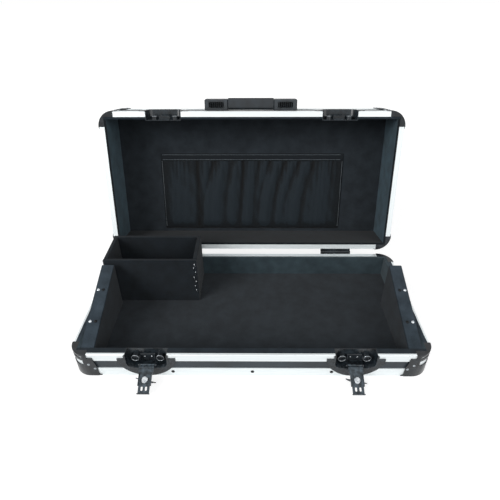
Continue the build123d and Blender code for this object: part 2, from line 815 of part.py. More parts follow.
def cheek(sign):
    """A felt-covered cheek, sloping up to the rear like the controller it holds."""
    start = base_inner_t
    stop = cheek_rear_from_front
    outline = [
        (start - case_depth / 2, inner_level),
        (stop - case_depth / 2, inner_level),
        (stop - case_depth / 2, cheek_height(stop)),
        (start - case_depth / 2, cheek_height(start)),
    ]
    outer = case_width / 2 - base_inner_t
    x0, x1 = sorted((sign * outer, sign * (outer - cheek_width)))
    plane = Plane(origin=(x0, 0, 0), x_dir=(0, 1, 0), z_dir=(1, 0, 0))
    solid = extrude(plane * make_face(Polyline(*outline, close=True)), amount=x1 - x0)
    ridges = solid.edges().filter_by(lambda e: abs(e.tangent_at(0.5).Y * e.tangent_at(0.5).Z) > 0.1)
    return fillet(ridges, cheek_round)


def cheek_bolt_places(sign):
    run = cheek_rear_from_front - base_inner_t
    slope = math.degrees(math.atan2(cheek_rear_height - cheek_front_height, run))
    places = []
    for row in bolt_rows_from_front:
        for column in bolt_columns:
            x = sign * (case_width / 2 - base_inner_t - column)
            place = Pos(x, row - case_depth / 2, cheek_height(row)) * Rot(X=slope)
            places.append(place)
    return places


def bolt():
    """The round head of a nickel bolt, standing on its underside at the origin."""
    return Cylinder(bolt_head_radius, bolt_head_height, align=(Align.CENTER, Align.CENTER, Align.MIN))


def compartment_boards():
    """Four boards round the open-topped compartment in the left rear corner."""
    x0 = -case_width / 2 + base_inner_t
    x1 = x0 + compartment_length
    y1 = case_depth / 2 - base_inner_t
    y0 = y1 - compartment_width
    z0 = inner_level
    z1 = z0 + compartment_height
    t = compartment_board
    front = block(x0, x1, y0, y0 + t, z0, z1)
    rear = block(x0 + t, x1 - t, y1 - t, y1, z0, z1)
    left = block(x0, x0 + t, y0 + t, y1, z0, z1)
    right = block(x1 - t, x1, y0 + t, y1, z0, z1)
    front = fillet(front.edges().filter_by(Axis.X).group_by(Axis.Z)[-1], compartment_round)
    return front, rear, left, right


# Pocket of gathered net on the lid lining
def pocket_level(stand):
    return level("lid", lid_height - inner_level - stand)


def pocket_section(s, stand, depth):
    """One cut across the pocket: a row of folds, sewn flat at both side edges."""
    half = pocket_width / 2
    x_start = pocket_centre - half
    pitch = (pocket_width - 2 * pocket_edge) / (2 * pocket_folds)
    levels = [hem_lift] + [stand] * (2 * pocket_folds + 1) + [hem_lift]
    xs = [x_start, x_start + pocket_edge]
    xs += [x_start + pocket_edge + pitch * (i + 1) for i in range(2 * pocket_folds)]
    xs.append(pocket_centre + half)
    plane = Plane(origin=(0, case_depth / 2 - s, 0), x_dir=(1, 0, 0), z_dir=(0, -1, 0))

    def run(shift):
        edges = []
        last = len(xs) - 2
        for i in range(len(xs) - 1):
            a = (xs[i], pocket_level(levels[i] + shift))
            b = (xs[i + 1], pocket_level(levels[i + 1] + shift))
            if i in (0, last):
                edges.append(Line(a, b))
                continue
            bulge = depth if i % 2 else -depth
            middle = ((a[0] + b[0]) / 2, pocket_level(stand + shift + bulge))
            edges.append(ThreePointArc(a, middle, b))
        return edges

    lower = run(0)
    upper = run(pocket_sheet)
    ends = [
        Line(lower[0] @ 0, upper[0] @ 0),
        Line(lower[-1] @ 1, upper[-1] @ 1),
    ]
    return plane * make_face(lower + upper + ends)


def pocket_net():
    """The hanging net with its folds: sewn at the bottom, fullest in the middle."""
    mouth = pocket_bottom + pocket_height - hem_height
    sections = [
        pocket_section(pocket_bottom, seam_lift, seam_wave),
        pocket_section(pocket_bottom + pocket_full_from_edge, full_lift, full_wave),
        pocket_section(mouth - pocket_full_from_edge, full_lift, full_wave),
        pocket_section(mouth, mouth_lift, mouth_wave),
    ]
    return loft(sections, ruled=True)


def pocket_hem():
    """The elastic band that gathers the pocket's mouth."""
    half = pocket_width / 2
    low, high = sorted((pocket_level(hem_lift), pocket_level(hem_lift + hem_thickness)))
    y0 = case_depth / 2 - pocket_bottom - pocket_height
    y1 = y0 + hem_height - 2 * joint_gap
    band = block(pocket_centre - half, pocket_centre + half, y0, y1, low, high)
    return chamfer(band.edges().filter_by(Axis.X), hem_thickness / 4)


build_shell("base")
build_shell("lid")
add("base_corner_guards", at_corners(base_guard()))
add("lid_rim_guards", at_corners(lid_rim_guard()), lid=True)
add("lid_ball_corners", at_corners(lid_ball_guard()), lid=True)
build_latches()
add("base_hinge_leaves", [hinge_leaf("base", x) for x in hinge_x])
add("lid_hinge_leaves", [hinge_leaf("lid", x) for x in hinge_x], lid=True)
add("hinge_pins", [hinge_pin(x) for x in hinge_x])
add("handle_blocks", [handle_block(-1), handle_block(1)], lid=True)
add("handle_grip", [handle_grip()], lid=True)
add("left_cheek", [cheek(-1)])
add("right_cheek", [cheek(1)])
bolts = [place * bolt() for sign in (-1, 1) for place in cheek_bolt_places(sign)]
add("cheek_bolts", bolts)
front_wall, rear_wall, left_wall, right_wall = compartment_boards()
add("compartment_front_board", [front_wall])
add("compartment_rear_board", [rear_wall])
add("compartment_end_boards", [left_wall, right_wall])
add("pocket_net", [pocket_net()], lid=True)
add("pocket_hem", [pocket_hem()], lid=True)

os.makedirs("parts", exist_ok=True)
for name, shape in nodes.items():
    export_step(shape, f"parts/{name}.step")
print(len(nodes), "nodes written")
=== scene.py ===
import json
import math
import bpy
from mathutils import Matrix, Vector


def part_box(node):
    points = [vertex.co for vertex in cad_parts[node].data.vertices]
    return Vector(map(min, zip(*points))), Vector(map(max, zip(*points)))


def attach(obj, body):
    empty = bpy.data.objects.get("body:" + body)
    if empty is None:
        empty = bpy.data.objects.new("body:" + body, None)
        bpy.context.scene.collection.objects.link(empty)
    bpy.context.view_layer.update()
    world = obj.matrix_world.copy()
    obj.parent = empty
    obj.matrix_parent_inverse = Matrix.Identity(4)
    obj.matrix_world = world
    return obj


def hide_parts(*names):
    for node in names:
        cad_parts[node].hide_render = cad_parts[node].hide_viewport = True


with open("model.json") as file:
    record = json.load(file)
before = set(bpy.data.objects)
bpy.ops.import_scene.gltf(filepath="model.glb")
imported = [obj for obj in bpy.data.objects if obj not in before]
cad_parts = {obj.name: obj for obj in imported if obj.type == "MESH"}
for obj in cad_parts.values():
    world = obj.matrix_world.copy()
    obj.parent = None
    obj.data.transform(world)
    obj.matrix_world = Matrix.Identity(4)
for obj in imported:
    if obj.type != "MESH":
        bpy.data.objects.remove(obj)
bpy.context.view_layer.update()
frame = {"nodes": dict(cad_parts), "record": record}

# Boards
# The walls, floor and top are plywood, faced with black laminate that is embossed with a fine
# leather grain. They slide into the aluminium rails and are riveted there.
mm = 0.001
laminate_tones = ("#20272c", "#303941")
laminate_pebble = 2.2 * mm
laminate_relief = 0.25 * mm
laminate_cloud = 45 * mm


def colour(code):
    """A hex colour, which is sRGB, as the linear colour that a socket takes."""
    parts = [int(code[i:i + 2], 16) / 255 for i in (1, 3, 5)]
    return [c / 12.92 if c <= 0.04045 else ((c + 0.055) / 1.055) ** 2.4 for c in parts] + [1.0]


def put(tree, kind, inputs, **settings):
    """Adds one node with its settings. An input is a number, a colour or the socket it comes from."""
    added = tree.nodes.new("ShaderNode" + kind)
    for name, value in settings.items():
        setattr(added, name, value)
    for name, value in inputs.items():
        if isinstance(value, bpy.types.NodeSocket):
            tree.links.new(value, added.inputs[name])
        else:
            added.inputs[name].default_value = value
    return added


def new_finish(name, constants):
    """A material whose constant numbers are set on the shader's own sockets."""
    material = bpy.data.materials.new(name)
    material.use_nodes = True
    tree = material.node_tree
    shader = tree.nodes["Principled BSDF"]
    for socket, value in constants.items():
        shader.inputs[socket].default_value = value
    return material, tree, shader


def on_surface(tree, size, tilt=0.0):
    """Object coordinates counted in cells of the real size given along x, y and z."""
    place = put(tree, "TexCoord", {})
    cell = size if isinstance(size, tuple) else (size, size, size)
    turned = {"Vector": place.outputs["Object"], "Rotation": (tilt, 0, 0), "Scale": cell}
    return put(tree, "Mapping", turned, vector_type="TEXTURE").outputs["Vector"]


def two_tones(tree, pattern, tones, start=0.35, stop=0.65):
    """A colour that runs from the first tone to the second as a pattern goes from start to stop."""
    ramp = put(tree, "ValToRGB", {"Fac": pattern})
    for end, tone, place in zip(ramp.color_ramp.elements, tones, (start, stop)):
        end.position = place
        end.color = colour(tone)
    return ramp.outputs["Color"]


def cover(tree, shader, tone, gloss=None, relief=None):
    """Gives the shader what varies over the surface: its colour, its roughness and its relief.

    gloss is a pattern, with the roughness at its two ends. relief is a pattern, with the
    strength that shows it and its real depth."""
    tree.links.new(tone, shader.inputs["Base Color"])
    if gloss:
        pattern, low, high = gloss
        rough = put(tree, "MapRange", {"Value": pattern, "To Min": low, "To Max": high})
        tree.links.new(rough.outputs["Result"], shader.inputs["Roughness"])
    if relief:
        pattern, strength, depth = relief
        bump = put(tree, "Bump", {"Height": pattern, "Strength": strength, "Distance": depth})
        tree.links.new(bump.outputs["Normal"], shader.inputs["Normal"])


def embossed_laminate():
    """Black laminate: a soft broad sheen, broken by pebbles like those of grained leather."""
    material, tree, shader = new_finish("embossed_laminate", {"IOR": 1.5})
    pebbles = put(tree, "TexVoronoi", {"Vector": on_surface(tree, laminate_pebble), "Scale": 1.0})
    broad = {"Vector": on_surface(tree, laminate_cloud), "Scale": 1.0, "Detail": 4.0}
    cloud = put(tree, "TexNoise", broad).outputs["Fac"]
    grain = (pebbles.outputs["Distance"], 0.35, laminate_relief)
    cover(tree, shader, two_tones(tree, cloud, laminate_tones), (cloud, 0.42, 0.6), grain)
    return material


def dress(material, *names):
    """Gives CAD nodes a material."""
    for name in names:
        mesh = frame["nodes"][name].data
        mesh.materials.clear()
        mesh.materials.append(material)


laminate = embossed_laminate()
dress(laminate, "base_floor_board", "lid_top_board")
for shell in ("base", "lid"):
    dress(laminate, f"{shell}_front_board", f"{shell}_rear_board", f"{shell}_side_boards")

# Rails
# Extruded aluminium, satin etched and clear anodised, cut to length and slid over the boards'
# edges. Bent strips of the same sheet join them at the corners, under the guards.
rail_tones = ("#e1e8ea", "#f1f6f7")
draw_line = 0.35 * mm
draw_length = 60 * mm
draw_relief = 0.05 * mm
# The lid stands fully open
hinge = next(j for j in frame["record"]["behaviour"]["joints"] if j["name"] == "lid_hinge")
lid_tilt = -math.radians(hinge["range_deg"][1])


def anodised_aluminium(name, cell, tilt=0.0):
    """Etched and clear anodised metal: a milky near white, with faint lines along the extrusion."""
    material, tree, shader = new_finish(name, {"Metallic": 0.75})
    drawn = {"Vector": on_surface(tree, cell, tilt), "Scale": 1.0, "Detail": 3.0}
    lines = put(tree, "TexNoise", drawn).outputs["Fac"]
    tone = two_tones(tree, lines, rail_tones, 0.3, 0.7)
    cover(tree, shader, tone, (lines, 0.42, 0.56), (lines, 0.15, draw_relief))
    return material


across_cell = (draw_line, draw_length, draw_line)
along_case = anodised_aluminium("anodised_along_case", (draw_length, draw_line, draw_line))
along_base_side = anodised_aluminium("anodised_along_base_side", across_cell)
along_lid_side = anodised_aluminium("anodised_along_lid_side", across_cell, lid_tilt)
for shell, side_metal in (("base", along_base_side), ("lid", along_lid_side)):
    for kind in ("rim", "edge"):
        dress(along_case, f"{shell}_front_{kind}_rail", f"{shell}_rear_{kind}_rail")
        dress(side_metal, f"{shell}_side_{kind}_rails")
    dress(along_case, f"{shell}_corner_posts")

# Rail rivets
# Steel blind rivets with low black heads, through the edge rails into the boards. The handle's
# wall of the lid has none.
rail_rivet_radius = 3.4 * mm
rail_rivet_height = 1.1 * mm
rail_rivet_level = 12 * mm
rail_rivet_tones = ("#0e1012", "#33363a")
rail_rivet_rub = 1.5 * mm
case_spots = (-153 * mm, 3 * mm, 158 * mm)
side_spots = (-70 * mm, 70 * mm)
half_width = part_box("base_side_edge_rails")[1].x
half_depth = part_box("base_rear_edge_rail")[1].y
rim_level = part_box("base_rear_rim_rail")[1].z
lid_low_level = 2 * hinge["pos_m"][2] - rim_level
lid_height = 100.5 * mm
lid_far_level = lid_low_level + lid_height
# Takes a place on the closed lid to where the open one has it
hinge_place = Matrix.Translation(hinge["pos_m"])
opened = hinge_place @ Matrix.Rotation(lid_tilt, 4, "X") @ hinge_place.inverted()
outward = {
    "front": Matrix.Rotation(math.radians(90), 4, "X"),
    "rear": Matrix.Rotation(math.radians(-90), 4, "X"),
    "left": Matrix.Rotation(math.radians(-90), 4, "Y"),
    "right": Matrix.Rotation(math.radians(90), 4, "Y"),
}


def on_wall(side, along, level, proud=0.0):
    """A place on an outer wall of the closed case, with z pointing out of the wall."""
    spot = {
        "front": (along, -half_depth - proud, level),
        "rear": (along, half_depth + proud, level),
        "left": (-half_width - proud, along, level),
        "right": (half_width + proud, along, level),
    }
    return Matrix.Translation(spot[side]) @ outward[side]


def rail_places(walls, level):
    """Places of the rivets along the rails of some walls."""
    spots = {"front": case_spots, "rear": case_spots, "left": side_spots, "right": side_spots}
    return [on_wall(side, along, level) for side in walls for along in spots[side]]


def start_alone():
    """Leaves edit mode and deselects everything, so that an operator acts on the new piece only."""
    if bpy.context.object and bpy.context.object.mode != "OBJECT":
        bpy.ops.object.mode_set(mode="OBJECT")
    bpy.ops.object.select_all(action="DESELECT")


def pick(piece, test, faces=True):
    """Opens the piece in edit mode with only the faces, or the edges, selected that pass the test."""
    bpy.ops.object.mode_set(mode="EDIT")
    bpy.context.tool_settings.mesh_select_mode = (False, not faces, faces)
    bpy.ops.mesh.select_all(action="DESELECT")
    bpy.ops.object.mode_set(mode="OBJECT")
    if faces:
        for face in piece.data.polygons:
            face.select = test(face)
    else:
        for edge in piece.data.edges:
            ends = [piece.data.vertices[number].co for number in edge.vertices]
            edge.select = test(ends[1] - ends[0])
    bpy.ops.object.mode_set(mode="EDIT")


def finish_piece(piece, material, smooth=35):
    """Back to object mode, shaded smooth up to an angle, and painted."""
    if piece.mode != "OBJECT":
        bpy.ops.object.mode_set(mode="OBJECT")
    bpy.ops.object.select_all(action="DESELECT")
    piece.select_set(True)
    bpy.context.view_layer.objects.active = piece
    bpy.ops.object.transform_apply(location=True, rotation=True, scale=True)
    bpy.ops.object.shade_smooth_by_angle(angle=math.radians(smooth))
    piece.data.materials.clear()
    piece.data.materials.append(material)
    return piece


def round_head(name, radius, height, material, sides=24):
    """A round head on the origin: a low drum whose top is drawn in three times to a dome."""
    start_alone()
    drum = {"vertices": sides, "radius": radius, "depth": height * 0.4}
    bpy.ops.mesh.primitive_cylinder_add(**drum, location=(0, 0, height * 0.2))
    head = bpy.context.object
    head.name = name
    pick(head, lambda face: face.normal.z > 0.9)
    for inward, lift in ((0.16, 0.28), (0.24, 0.2), (0.3, 0.12)):
        bpy.ops.mesh.inset(thickness=radius * inward, depth=height * lift)
    return finish_piece(head, material, 60)


def set_one(master, name, place, body):
    """A copy of a piece at its place, with its own mesh and riding on the body."""
    piece = bpy.data.objects.new(name, master.data.copy())
    piece.data.transform(place)
    bpy.context.collection.objects.link(piece)
    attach(piece, body)
    return piece


def set_out(master, body, places, replaced=()):
    """Numbered copies of a piece at their places. The first one replaces the CAD nodes given."""
    for number, place in enumerate(places, 1):
        set_one(master, f"{master.name}_{body}_{number}", place, body)
    if replaced:
        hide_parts(*replaced)


def blackened_steel():
    """Black zinc on a rivet head: nearly matt, lighter where it rubs."""
    material, tree, shader = new_finish("blackened_steel", {"Metallic": 0.6})
    rub = {"Vector": on_surface(tree, rail_rivet_rub), "Scale": 1.0, "Detail": 2.0}
    rubbed = put(tree, "TexNoise", rub).outputs["Fac"]
    tone = two_tones(tree, rubbed, rail_rivet_tones, 0.5, 0.8)
    cover(tree, shader, tone, (rubbed, 0.35, 0.5))
    return material


black_steel = blackened_steel()
rail_rivet = round_head("rail_rivet", rail_rivet_radius, rail_rivet_height, black_steel)
base_spots = rail_places(("front", "rear", "left", "right"), rail_rivet_level)
lid_spots = rail_places(("rear", "left", "right"), lid_far_level - rail_rivet_level)
set_out(rail_rivet, "base", base_spots)
set_out(rail_rivet, "lid", [opened @ place for place in lid_spots])
bpy.data.objects.remove(rail_rivet)

# Corner guards
# Pressed steel, stove enamelled black, wrapped round each corner over the rails. Domed rivets
# of zinc plated steel hold each leg. Two windows in the base guards show the bright post.
guard_tones = ("#111518", "#252b30")
zinc_tones = ("#70767b", "#b4babf")
zinc_spangle = 1.2 * mm
enamel_patch = 14 * mm
enamel_ripple = 1.6 * mm
enamel_relief = 0.06 * mm
pressed_edge = 0.5 * mm
guard_proud = 1.8 * mm
guard_rivet_radius = 2.6 * mm
guard_rivet_height = 1.2 * mm
# On the two end walls the heads sit lower, within the length of the case
guard_rivet_sunk = 1.25 * mm
# Distance from the corner and height of the rivets on each leg
base_guard_spots = ((35.5 * mm, 33 * mm), (46 * mm, 22 * mm))
rim_guard_spots = ((34.5 * mm, 20 * mm),)
ball_corner_spots = ((45 * mm, 86 * mm), (36 * mm, 68 * mm))


def stove_enamel(name, tones, rough, patches=enamel_patch):
    """Baked black enamel: glossy, with the slight ripple of sprayed paint."""
    material, tree, shader = new_finish(name, {"IOR": 1.45})
    fine = {"Vector": on_surface(tree, enamel_ripple), "Scale": 1.0, "Detail": 2.0}
    ripple = put(tree, "TexNoise", fine).outputs["Fac"]
    broad = {"Vector": on_surface(tree, patches), "Scale": 1.0, "Detail": 4.0}
    patch = put(tree, "TexNoise", broad).outputs["Fac"]
    gloss = (patch, rough - 0.06, rough + 0.1)
    cover(tree, shader, two_tones(tree, patch, tones), gloss, (ripple, 0.2, enamel_relief))
    return material


def zinc_plate():
    """Zinc on a rivet head: grey, satin and slightly patchy."""
    material, tree, shader = new_finish("zinc_rivet", {"Metallic": 1.0})
    spangle = {"Vector": on_surface(tree, zinc_spangle), "Scale": 1.0, "Detail": 2.0}
    worn = put(tree, "TexNoise", spangle).outputs["Fac"]
    cover(tree, shader, two_tones(tree, worn, zinc_tones), (worn, 0.22, 0.4))
    return material


def soften(width, *nodes):
    """Rounds the edges of CAD nodes, as the press, the mould or the felt leaves them."""
    for node in nodes:
        piece = frame["nodes"][node]
        weld = piece.modifiers.new("weld", "WELD")
        weld.merge_threshold = 0.01 * mm
        turn = piece.modifiers.new("turn", "BEVEL")
        turn.width = width
        turn.segments = 3
        turn.limit_method = "ANGLE"
        turn.angle_limit = math.radians(40)


def on_each_leg(spots, start):
    """Places on both legs of all four guards, with their heights counted from a level."""
    half_length = {"front": half_width, "rear": half_width, "left": half_depth, "right": half_depth}
    places = []
    for reach, height in spots:
        for end in (-1, 1):
            for side, half in half_length.items():
                sunk = guard_rivet_sunk if side in ("left", "right") else 0.0
                along = end * (half - reach)
                places.append(on_wall(side, along, start + height, guard_proud - sunk))
    return places


zinc = zinc_plate()
guard_enamel = stove_enamel("guard_enamel", guard_tones, 0.24)
dress(guard_enamel, "base_corner_guards", "lid_rim_guards", "lid_ball_corners")
soften(pressed_edge, "base_corner_guards", "lid_rim_guards", "lid_ball_corners")
guard_rivet = round_head("guard_rivet", guard_rivet_radius, guard_rivet_height, zinc)
set_out(guard_rivet, "base", on_each_leg(base_guard_spots, 0.0))
lid_places = on_each_leg(rim_guard_spots + ball_corner_spots, lid_low_level)
set_out(guard_rivet, "lid", [opened @ place for place in lid_places])
bpy.data.objects.remove(guard_rivet)

# Linings
# The walls are lined with thin board under a smooth grey-green felt, and the floor and the top
# with a darker needled felt. Both are glued down, and the front felt laps over the rim rail.
base_wall_tones = ("#27343a", "#3a4a51")
lid_wall_tones = ("#273840", "#3a525e")
# Painted shade: the lid's front and rear wall felt is drawn in these much darker tones
lid_rear_painted_shade_tones = ("#0a1014", "#121a20")
floor_tones = ("#1c2126", "#2a3137")
lap_tones = ("#182026", "#28323a")
felt_fibre = 1.1 * mm
felt_cloud = 26 * mm
felt_relief = 0.35 * mm


def needled_felt(name, tones, sheen, strength, lit_and_shaded_tones=()):
    """Needled felt: matt, mottled and fuzzy, its fibres drawn coarser than the real 0.03 mm.

    The last argument gives two other tones for the faces that don't look along the case: painted shade
    where they are darker, painted light where they are lighter."""
    matt = {"Roughness": 0.95, "Specular IOR Level": 0.15}
    material, tree, shader = new_finish(name, {**matt, "Sheen Weight": sheen, "Sheen Roughness": 0.6})
    fine = {"Vector": on_surface(tree, felt_fibre), "Scale": 1.0, "Detail": 6.0, "Roughness": 0.7}
    fibre = put(tree, "TexNoise", fine).outputs["Fac"]
    broad = {"Vector": on_surface(tree, felt_cloud), "Scale": 1.0, "Detail": 5.0}
    cloud = put(tree, "TexNoise", broad).outputs["Fac"]
    share = put(tree, "Math", {0: fibre, 1: 0.55}, operation="MULTIPLY").outputs["Value"]
    both = put(tree, "Math", {0: cloud, 1: 0.45, 2: share}, operation="MULTIPLY_ADD").outputs["Value"]
    tone = two_tones(tree, both, tones, 0.38, 0.62)
    if lit_and_shaded_tones:
        facing = put(tree, "TexCoord", {}).outputs["Normal"]
        along = put(tree, "SeparateXYZ", {"Vector": facing}).outputs["X"]
        ends = put(tree, "Math", {0: along}, operation="ABSOLUTE").outputs["Value"]
        either = {"Factor": ends, "A": two_tones(tree, both, lit_and_shaded_tones, 0.38, 0.62), "B": tone}
        tone = put(tree, "Mix", either, data_type="RGBA").outputs["Result"]
    cover(tree, shader, tone, relief=(fibre, strength, felt_relief))
    return material


dress(needled_felt("wall_felt", base_wall_tones, 0.1, 0.5), "base_liners")
dress(needled_felt("floor_felt", floor_tones, 0.12, 0.6), "base_felt_pad", "lid_felt_pad")
# The lid's end walls keep the grey-green tones, and its front and rear walls get darker ones as painted
# shade
dress(needled_felt("lid_wall_felt", lid_wall_tones, 0.08, 0.5, lid_rear_painted_shade_tones), "lid_liners")
dress(needled_felt("lap_felt", lap_tones, 0.08, 0.5), "base_front_liner", "lid_front_liner")

# Side cheeks
# Two wedges of board under charcoal felt, sloping up to the rear, that hold the controller from
# both sides. Two rows of cross-recessed nickel bolts fix them, the inner row drawn in black steel
# as painted shade, and felt laps over the rail.
cheek_tones = ("#11171c", "#1d262d")
# Painted light: the cheeks' tops and front faces, and the felt laps, get these lighter tones than the
# sides of the same felt
cheek_lit_top_tones = ("#252e35", "#3f4b55")
nickel_tones = ("#b4bac0", "#dfe3e6")
nickel_cloud = 3 * mm
felt_edge = 1.2 * mm
bolt_radius = 3.2 * mm
bolt_height = 2.0 * mm
bolt_recess = 3.6 * mm
recess_width = 0.9 * mm
recess_depth = 0.7 * mm
bolt_rows = (72 * mm, 143 * mm)
bolt_column = 7 * mm
# The inner row of bolts, drawn in black steel as painted shade
shaded_bolt_column = 17.5 * mm
cheek_low, cheek_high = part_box("left_cheek")
cheek_slope = math.atan2(cheek_high.z - rim_level, cheek_high.y - cheek_low.y)


def nickel_plate():
    """Bright nickel over steel: a mirror, a little dulled by handling."""
    material, tree, shader = new_finish("nickel_plate", {"Metallic": 1.0})
    handled = {"Vector": on_surface(tree, nickel_cloud), "Scale": 1.0, "Detail": 4.0}
    dull = put(tree, "TexNoise", handled).outputs["Fac"]
    cover(tree, shader, two_tones(tree, dull, nickel_tones), (dull, 0.16, 0.34))
    return material


def shape_with(piece, kind, **settings):
    """Adds a modifier with its settings and applies it."""
    bpy.ops.object.select_all(action="DESELECT")
    bpy.context.view_layer.objects.active = piece
    step = piece.modifiers.new("step", kind)
    for name, value in settings.items():
        setattr(step, name, value)
    bpy.ops.object.modifier_apply(modifier=step.name)


def cross_recess(head, length):
    """Sinks a cross into a head's top with a cutter of two crossed bars."""
    start_alone()
    top = max(v.co.z for v in head.data.vertices)
    bpy.ops.mesh.primitive_cube_add(size=1, location=(0, 0, top))
    cutter = bpy.context.object
    cutter.scale = (length, recess_width, 2 * recess_depth)
    bpy.ops.object.transform_apply(location=False, rotation=False, scale=True)
    pick(cutter, lambda face: True)
    bpy.ops.mesh.duplicate()
    bpy.ops.transform.rotate(value=math.radians(90), orient_axis="Z", center_override=(0, 0, top))
    bpy.ops.object.mode_set(mode="OBJECT")
    shape_with(head, "BOOLEAN", object=cutter, operation="DIFFERENCE", use_self=True)
    bpy.data.objects.remove(cutter)


def on_cheeks(column):
    """Places on the sloping tops of both cheeks, in a row at a distance from the outer side."""
    places = []
    for sign in (-1, 1):
        for row in bolt_rows:
            y = row - half_depth
            z = rim_level + (y - cheek_low.y) * math.tan(cheek_slope)
            lean = Matrix.Rotation(cheek_slope, 4, "X")
            places.append(Matrix.Translation((sign * (-cheek_low.x - column), y, z)) @ lean)
    return places


# The faces that don't look sideways come out lighter than the sides: painted light
cheek_felt = needled_felt("cheek_felt", cheek_tones, 0.08, 0.6, cheek_lit_top_tones)
dress(cheek_felt, "left_cheek", "right_cheek")
soften(felt_edge, "left_cheek", "right_cheek")
nickel = nickel_plate()
bolt = round_head("cheek_bolt", bolt_radius, bolt_height, nickel)
cross_recess(bolt, bolt_recess)
set_out(bolt, "base", on_cheeks(bolt_column), ["cheek_bolts"])
# Painted shade: the inner row is the same nickel bolt, drawn in black steel where it sits in shadow
bolt.name = "shaded_cheek_bolt"
bolt.data.materials[0] = black_steel
set_out(bolt, "base", on_cheeks(shaded_bolt_column))
bpy.data.objects.remove(bolt)

# The felt laps are measured from the rail's outer side, and stop short of the corners
lap_inner = 12.3 * mm
lap_outer = 4.3 * mm
lap_thick = 0.2 * mm
lap_setback = 34 * mm
lap_cuts = 70
lap_wave = 0.3 * mm
# Radians to a metre of the two waves in the laps' cut edge
lap_turns = (130, 47)
start_alone()
lap_centre = (-(lap_inner + lap_outer) / 2, 0, lap_thick / 2)
bpy.ops.mesh.primitive_plane_add(size=1, location=lap_centre)
lap = bpy.context.object
lap.name = "side_lap_felt"
lap.scale = (lap_inner - lap_outer, 2 * (half_depth - lap_setback), 1)
bpy.ops.object.transform_apply(location=True, rotation=False, scale=True)
pick(lap, lambda run: abs(run.x) < lap_thick, faces=False)
bpy.ops.mesh.subdivide(number_cuts=lap_cuts)
bpy.ops.object.mode_set(mode="OBJECT")
for vertex in lap.data.vertices:
    if vertex.co.x > -lap_inner:
        fast, slow = (vertex.co.y * turns for turns in lap_turns)
        vertex.co.x += lap_wave * math.sin(fast) * math.sin(slow + 1)
shape_with(lap, "SOLIDIFY", thickness=lap_thick, offset=0)
finish_piece(lap, cheek_felt, 40)
on_rail = Matrix.Translation((half_width, 0, rim_level))
half_turn = Matrix.Rotation(math.pi, 4, "Z")
set_out(lap, "base", (on_rail, half_turn @ on_rail))
bpy.data.objects.remove(lap)

# Accessory compartment
# Four felt-covered boards butted together in the left rear corner. Wire staples hold the felt
# and the joint at the right end of the front board.
compartment_tones = ("#0d1318", "#192128")
compartment_boards = ("compartment_front_board", "compartment_rear_board", "compartment_end_boards")
staple_crown = 8.5 * mm
staple_wire = 0.8 * mm
staple_levels = (38 * mm, 50 * mm, 63 * mm, 76 * mm, 90 * mm, 102 * mm, 112 * mm)
staple_inset = (4.5 * mm, 7.5 * mm)
staple_lean = (-14, 9, 4)
dress(needled_felt("compartment_felt", compartment_tones, 0.08, 0.6), *compartment_boards)
soften(felt_edge, *compartment_boards)
start_alone()
bpy.ops.mesh.primitive_cylinder_add(vertices=8, radius=staple_wire, depth=staple_crown)
staple = bpy.context.object
staple.name = "felt_staple"
for tip in (1, -1):
    turned_in = (0, staple_wire, tip * staple_wire)
    driven_in = (0, 2 * staple_wire, 0)
    pick(staple, lambda face: face.normal.z * tip > 0.9)
    bpy.ops.mesh.extrude_region_move(TRANSFORM_OT_translate={"value": turned_in})
    bpy.ops.mesh.extrude_region_move(TRANSFORM_OT_translate={"value": driven_in})
finish_piece(staple, nickel, 50)
board_low, board_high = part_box("compartment_front_board")
staple_places = []
for number, level in enumerate(staple_levels):
    lean = Matrix.Rotation(math.radians(staple_lean[number % 3]), 4, "Y")
    spot = (board_high.x - staple_inset[number % 2], board_low.y - staple_wire, level)
    staple_places.append(Matrix.Translation(spot) @ lean)
set_out(staple, "base", staple_places)
bpy.data.objects.remove(staple)

# Latch dishes
# Pressed steel dishes, enamelled black, let into the front walls, each with two rivet bosses, each
# topped by a bright zinc ring as a painted highlight of its rim. A spot riveted bracket stiffens the
# base's, and the lid's carries the keeper.
dish_tones = ("#171c20", "#2c343a")
dish_patch = 9 * mm
boss_tones = ("#1d2125", "#30363b")
dish_sheet = 1.2 * mm
dish_depth = {"base": 18 * mm, "lid": 20 * mm}
boss_radius = 8.2 * mm
boss_height = 6.5 * mm
boss_level = 20 * mm
boss_shifts = (-24.4 * mm, 24.4 * mm)
# The boss's top from its edge to its middle: how far each step goes in and out, in mm
boss_steps = (
    (0.7, 0.7), (1.0, 0.0), (0.5, -0.6), (0.4, -1.4), (1.0, 0.0),
    (0.4, 1.2), (0.5, 0.4), (0.9, 0.0), (0.3, -2.2),
)
# The ring is a painted highlight: bright zinc standing for the light caught along each boss's rim
ring_radius = 7.2 * mm
ring_wire = 0.8 * mm
ring_seat = 0.5 * mm
bracket_wide = 29.6 * mm
bracket_tall = 17 * mm
bracket_reach = 7.5 * mm
bracket_bend = 0.4 * mm
spot_rivet_radius = 2.0 * mm
spot_rivet_height = 0.9 * mm
spot_rivet_shifts = (-7 * mm, 7 * mm)
spot_rivet_level = 22 * mm
latch_x = [sum(corner.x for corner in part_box(f"{side}_latch_plate")) / 2 for side in ("left", "right")]


def in_dishes(shell, shifts, level, lift=0.0):
    """Places on the backs of a shell's dishes, at shifts from the latch and a level from the rim."""
    swing = opened if shell == "lid" else Matrix()
    height = lid_low_level + level if shell == "lid" else rim_level - level
    proud = lift + dish_sheet - dish_depth[shell]
    return [swing @ on_wall("front", x + shift, height, proud) for x in latch_x for shift in shifts]


def rivet_boss(material):
    """A pressed boss on the origin, stepped down in rings to the rivet's hollow end."""
    start_alone()
    drum = {"vertices": 40, "radius": boss_radius, "depth": boss_height}
    bpy.ops.mesh.primitive_cylinder_add(**drum, location=(0, 0, boss_height / 2))
    boss = bpy.context.object
    boss.name = "dish_eyelet"
    pick(boss, lambda face: face.normal.z > 0.9)
    for inward, lift in boss_steps:
        bpy.ops.mesh.inset(thickness=inward * mm, depth=lift * mm)
    return finish_piece(boss, material, 40)


